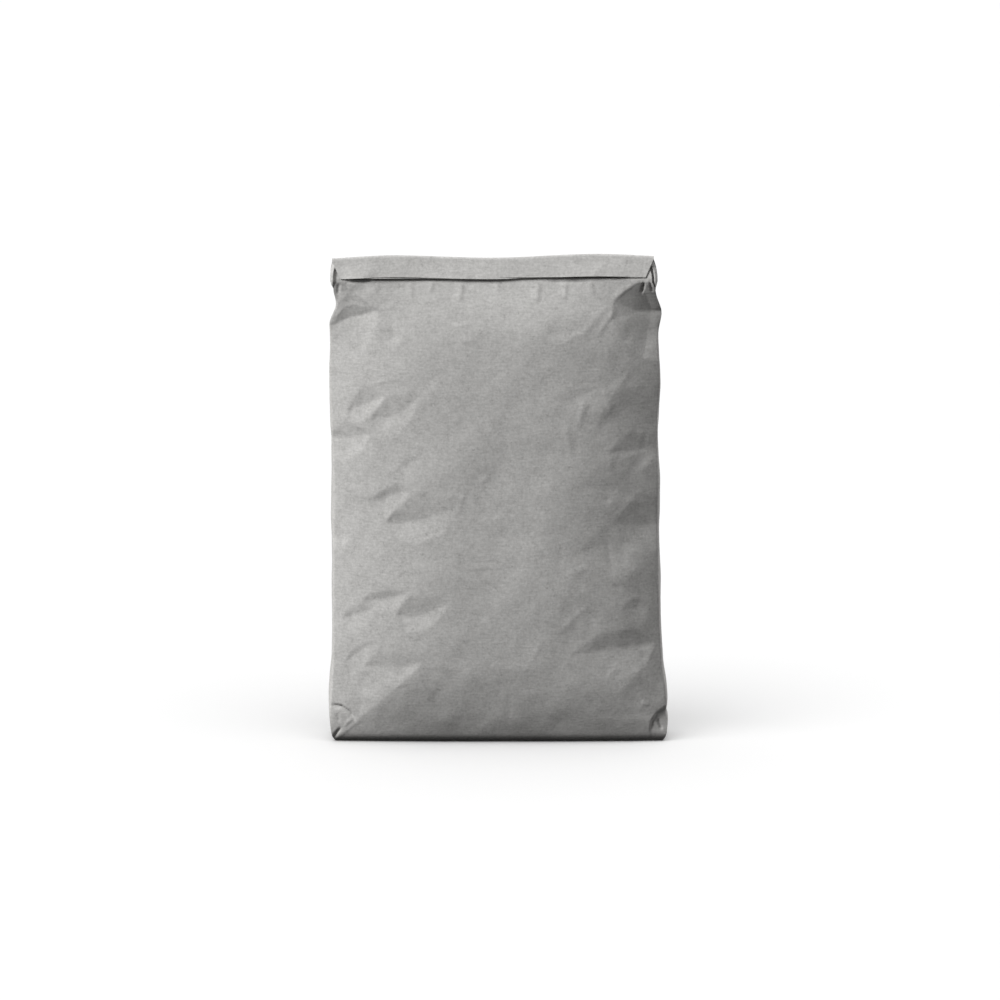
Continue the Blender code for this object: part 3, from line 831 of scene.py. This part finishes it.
def paper_material():
    """Grey kraft sack paper, its fibres, pits and use marks, and painted highlight and shade on its folds.
    """
    material = bpy.data.materials.new("grey_kraft_sack_paper")
    material.use_nodes = True
    tree = material.node_tree
    shader = tree.nodes["Principled BSDF"]
    shader.inputs["IOR"].default_value = PAPER_IOR
    shader.inputs["Specular IOR Level"].default_value = PAPER_SHEEN

    # The fibres lie round the sack, and the marks of the wire stand across them.
    place = add(tree, "ShaderNodeTexCoord").outputs["Object"]
    sheet = add(tree, "ShaderNodeUVMap", uv_map="paper_sheet").outputs["UV"]
    lying = add(tree, "ShaderNodeMapping", {"Scale": (1 / STREAK_STRETCH, 1, 1)}, {"Vector": sheet})
    standing = add(tree, "ShaderNodeMapping", {"Scale": (1, 1 / STREAK_STRETCH, 1)}, {"Vector": sheet})
    clouds = add(tree, "ShaderNodeTexNoise", CLOUDS, {"Vector": place})
    blotches = add(tree, "ShaderNodeTexNoise", BLOTCHES, {"Vector": place})
    streaks = add(tree, "ShaderNodeTexNoise", STREAKS, {"Vector": lying.outputs["Vector"]})
    marks = add(tree, "ShaderNodeTexNoise", WIRE_MARKS, {"Vector": standing.outputs["Vector"]})
    grain = add(tree, "ShaderNodeTexNoise", GRAIN, {"Vector": place})

    # The layers add up to the paper's thickness, which lightens it. The start keeps their mean at one half.
    thickness = add(tree, "ShaderNodeValue")
    thickness.outputs["Value"].default_value = 0.5 - 0.5 * sum(LAYER_SHARES)
    for layer, share in zip((clouds, blotches, streaks, marks, grain), LAYER_SHARES):
        links = {0: layer.outputs["Fac"], 2: thickness.outputs["Value"]}
        thickness = add(tree, "ShaderNodeMath", {1: share}, links, operation="MULTIPLY_ADD")
    ends = {"A": linear(PAPER_THIN), "B": linear(PAPER_THICK)}
    links = {"Factor": thickness.outputs["Value"]}
    bare = add(tree, "ShaderNodeMix", ends, links, data_type="RGBA", clamp_factor=False)

    # Dark pits and grit gather where the paper is thin.
    grit = add(tree, "ShaderNodeTexNoise", PITS, {"Vector": place})
    pit = add(tree, "ShaderNodeMapRange", PIT_OPENING, {"Value": grit.outputs["Fac"]})
    crowd = add(tree, "ShaderNodeMapRange", PIT_CROWDING, {"Value": blotches.outputs["Fac"]})
    links = {0: pit.outputs["Result"], 1: crowd.outputs["Result"]}
    pitted = add(tree, "ShaderNodeMath", links=links, operation="MULTIPLY")
    links = {"Factor": pitted.outputs["Value"], "A": bare.outputs["Result"]}
    gritty = add(tree, "ShaderNodeMix", {"B": linear(PIT)}, links, data_type="RGBA")

    # Cement dust lies in faint patches. Ridges are paler with wear and a painted highlight, and grooves are
    # darker with a little dirt and painted shade.
    smudge = add(tree, "ShaderNodeTexNoise", DUST_PATCHES, {"Vector": place}).outputs["Fac"]
    ridge = add(tree, "ShaderNodeAttribute", attribute_name="ridge").outputs["Fac"]
    colour = gritty
    for value, reach, over in (
        (smudge, DUST_COVER, DUST),
        # Paler ridges are rubbed wear and a painted highlight.
        (ridge, RUBBED_AND_HIGHLIGHT_COVER, RUBBED_AND_HIGHLIGHT),
        # Darker grooves are a little dirt and painted shade.
        (ridge, DIRT_AND_SHADE_COVER, DIRT_AND_SHADE),
    ):
        cover = add(tree, "ShaderNodeMapRange", reach, {"Value": value})
        links = {"Factor": cover.outputs["Result"], "A": colour.outputs["Result"]}
        colour = add(tree, "ShaderNodeMix", {"B": linear(over)}, links, data_type="RGBA")
    tree.links.new(colour.outputs["Result"], shader.inputs["Base Color"])

    rough = add(tree, "ShaderNodeMapRange", ROUGHNESS, {"Value": blotches.outputs["Fac"]})
    tree.links.new(rough.outputs["Result"], shader.inputs["Roughness"])

    links = {0: grain.outputs["Fac"], 1: streaks.outputs["Fac"]}
    relief = add(tree, "ShaderNodeMath", links=links, operation="ADD")
    depth = {"Strength": 1.0, "Distance": FIBRE_RELIEF}
    bump = add(tree, "ShaderNodeBump", depth, {"Height": relief.outputs["Value"]})
    tree.links.new(bump.outputs["Normal"], shader.inputs["Normal"])
    return material


sack.data.materials.append(paper_material())
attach(sack, "root")
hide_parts("paper_sack")


# Studio floor.
# A seamless white sweep, plain and matt, that only takes the sack's soft shadow.
FLOOR_REACH = 40.0
FLOOR_WHITE = "#F4F4F4"

corners = [(x * FLOOR_REACH, y * FLOOR_REACH, 0.0) for x, y in ((-1, -1), (1, -1), (1, 1), (-1, 1))]
floor_mesh = bpy.data.meshes.new("studio_floor")
floor_mesh.from_pydata(corners, [], [(0, 1, 2, 3)])
floor = bpy.data.objects.new("studio_floor", floor_mesh)
bpy.context.collection.objects.link(floor)
floor_paint = bpy.data.materials.new("matt_white_sweep")
floor_paint.use_nodes = True
floor_shader = floor_paint.node_tree.nodes["Principled BSDF"]
floor_shader.inputs["Base Color"].default_value = linear(FLOOR_WHITE)
floor_shader.inputs["Roughness"].default_value = 1.0
floor_shader.inputs["Specular IOR Level"].default_value = 0.0
floor_mesh.materials.append(floor_paint)

# The floor shines no light back on the sack, so that the sack darkens towards its foot.
floor.visible_diffuse = False


# Studio light.
# A large softbox high on the left lights the sack, and a weak one fills it from the right rear. The floor
# has soft lamps of its own, so that it stays white round a light shadow.
def lamp(name, azimuth, elevation, strength, softness, receiver):
    """A soft distant lamp. Azimuth 0 shines from the camera's side, and positive turns it to the left."""
    data = bpy.data.lights.new(name, "SUN")
    data.energy = strength
    data.angle = math.radians(softness)
    made = bpy.data.objects.new(name, data)
    bpy.context.collection.objects.link(made)
    made.rotation_euler = (math.radians(90 - elevation), 0, math.radians(-azimuth))
    lit = bpy.data.collections.new(name + "_lights")
    lit.objects.link(receiver)
    made.light_linking.receiver_collection = lit


lamp("left_softbox", azimuth=60, elevation=34.5, strength=4.85, softness=22, receiver=sack)
lamp("rear_fill", azimuth=-112, elevation=26, strength=1.75, softness=50, receiver=sack)
lamp("floor_left", azimuth=40, elevation=55, strength=1.08, softness=42, receiver=floor)
lamp("floor_right", azimuth=-50, elevation=60, strength=0.50, softness=50, receiver=floor)
lamp("floor_overhead", azimuth=0, elevation=88, strength=0.93, softness=90, receiver=floor)

# The surround is pale overhead and nearly dark a little below the horizon, so that undersides lie in shade.
SURROUND = {"From Min": -0.12, "From Max": 0.35, "To Min": 0.02, "To Max": 0.44}

world = bpy.data.worlds.new("studio")
bpy.context.scene.world = world
world.use_nodes = True
sky = world.node_tree
direction = add(sky, "ShaderNodeTexCoord").outputs["Generated"]
height = add(sky, "ShaderNodeSeparateXYZ", links={"Vector": direction}).outputs["Z"]
level = add(sky, "ShaderNodeMapRange", SURROUND, {"Value": height}, clamp=True)
sky.links.new(level.outputs["Result"], sky.nodes["Background"].inputs["Strength"])
sky.nodes["Background"].inputs["Color"].default_value = (1, 1, 1, 1)
bpy.context.scene.view_settings.view_transform = "Standard"


# Camera.
# Far off with a long lens, and a few degrees above the level, so that the sack's sides stay upright.
CAMERA_ELEVATION = math.radians(9)
CAMERA_DISTANCE = 5.0
SENSOR_WIDTH = 36
VIEW_WIDTH = 1.157
AIM = (0.0017, 0.0, 0.2796)

camera_data = bpy.data.cameras.new("studio_camera")
camera_data.sensor_width = SENSOR_WIDTH
camera_data.lens = SENSOR_WIDTH * CAMERA_DISTANCE / VIEW_WIDTH
camera = bpy.data.objects.new("studio_camera", camera_data)
bpy.context.collection.objects.link(camera)
camera.location = (
    AIM[0],
    AIM[1] - CAMERA_DISTANCE * math.cos(CAMERA_ELEVATION),
    AIM[2] + CAMERA_DISTANCE * math.sin(CAMERA_ELEVATION),
)
camera.rotation_euler = (math.radians(90) - CAMERA_ELEVATION, 0, 0)
bpy.context.scene.camera = camera
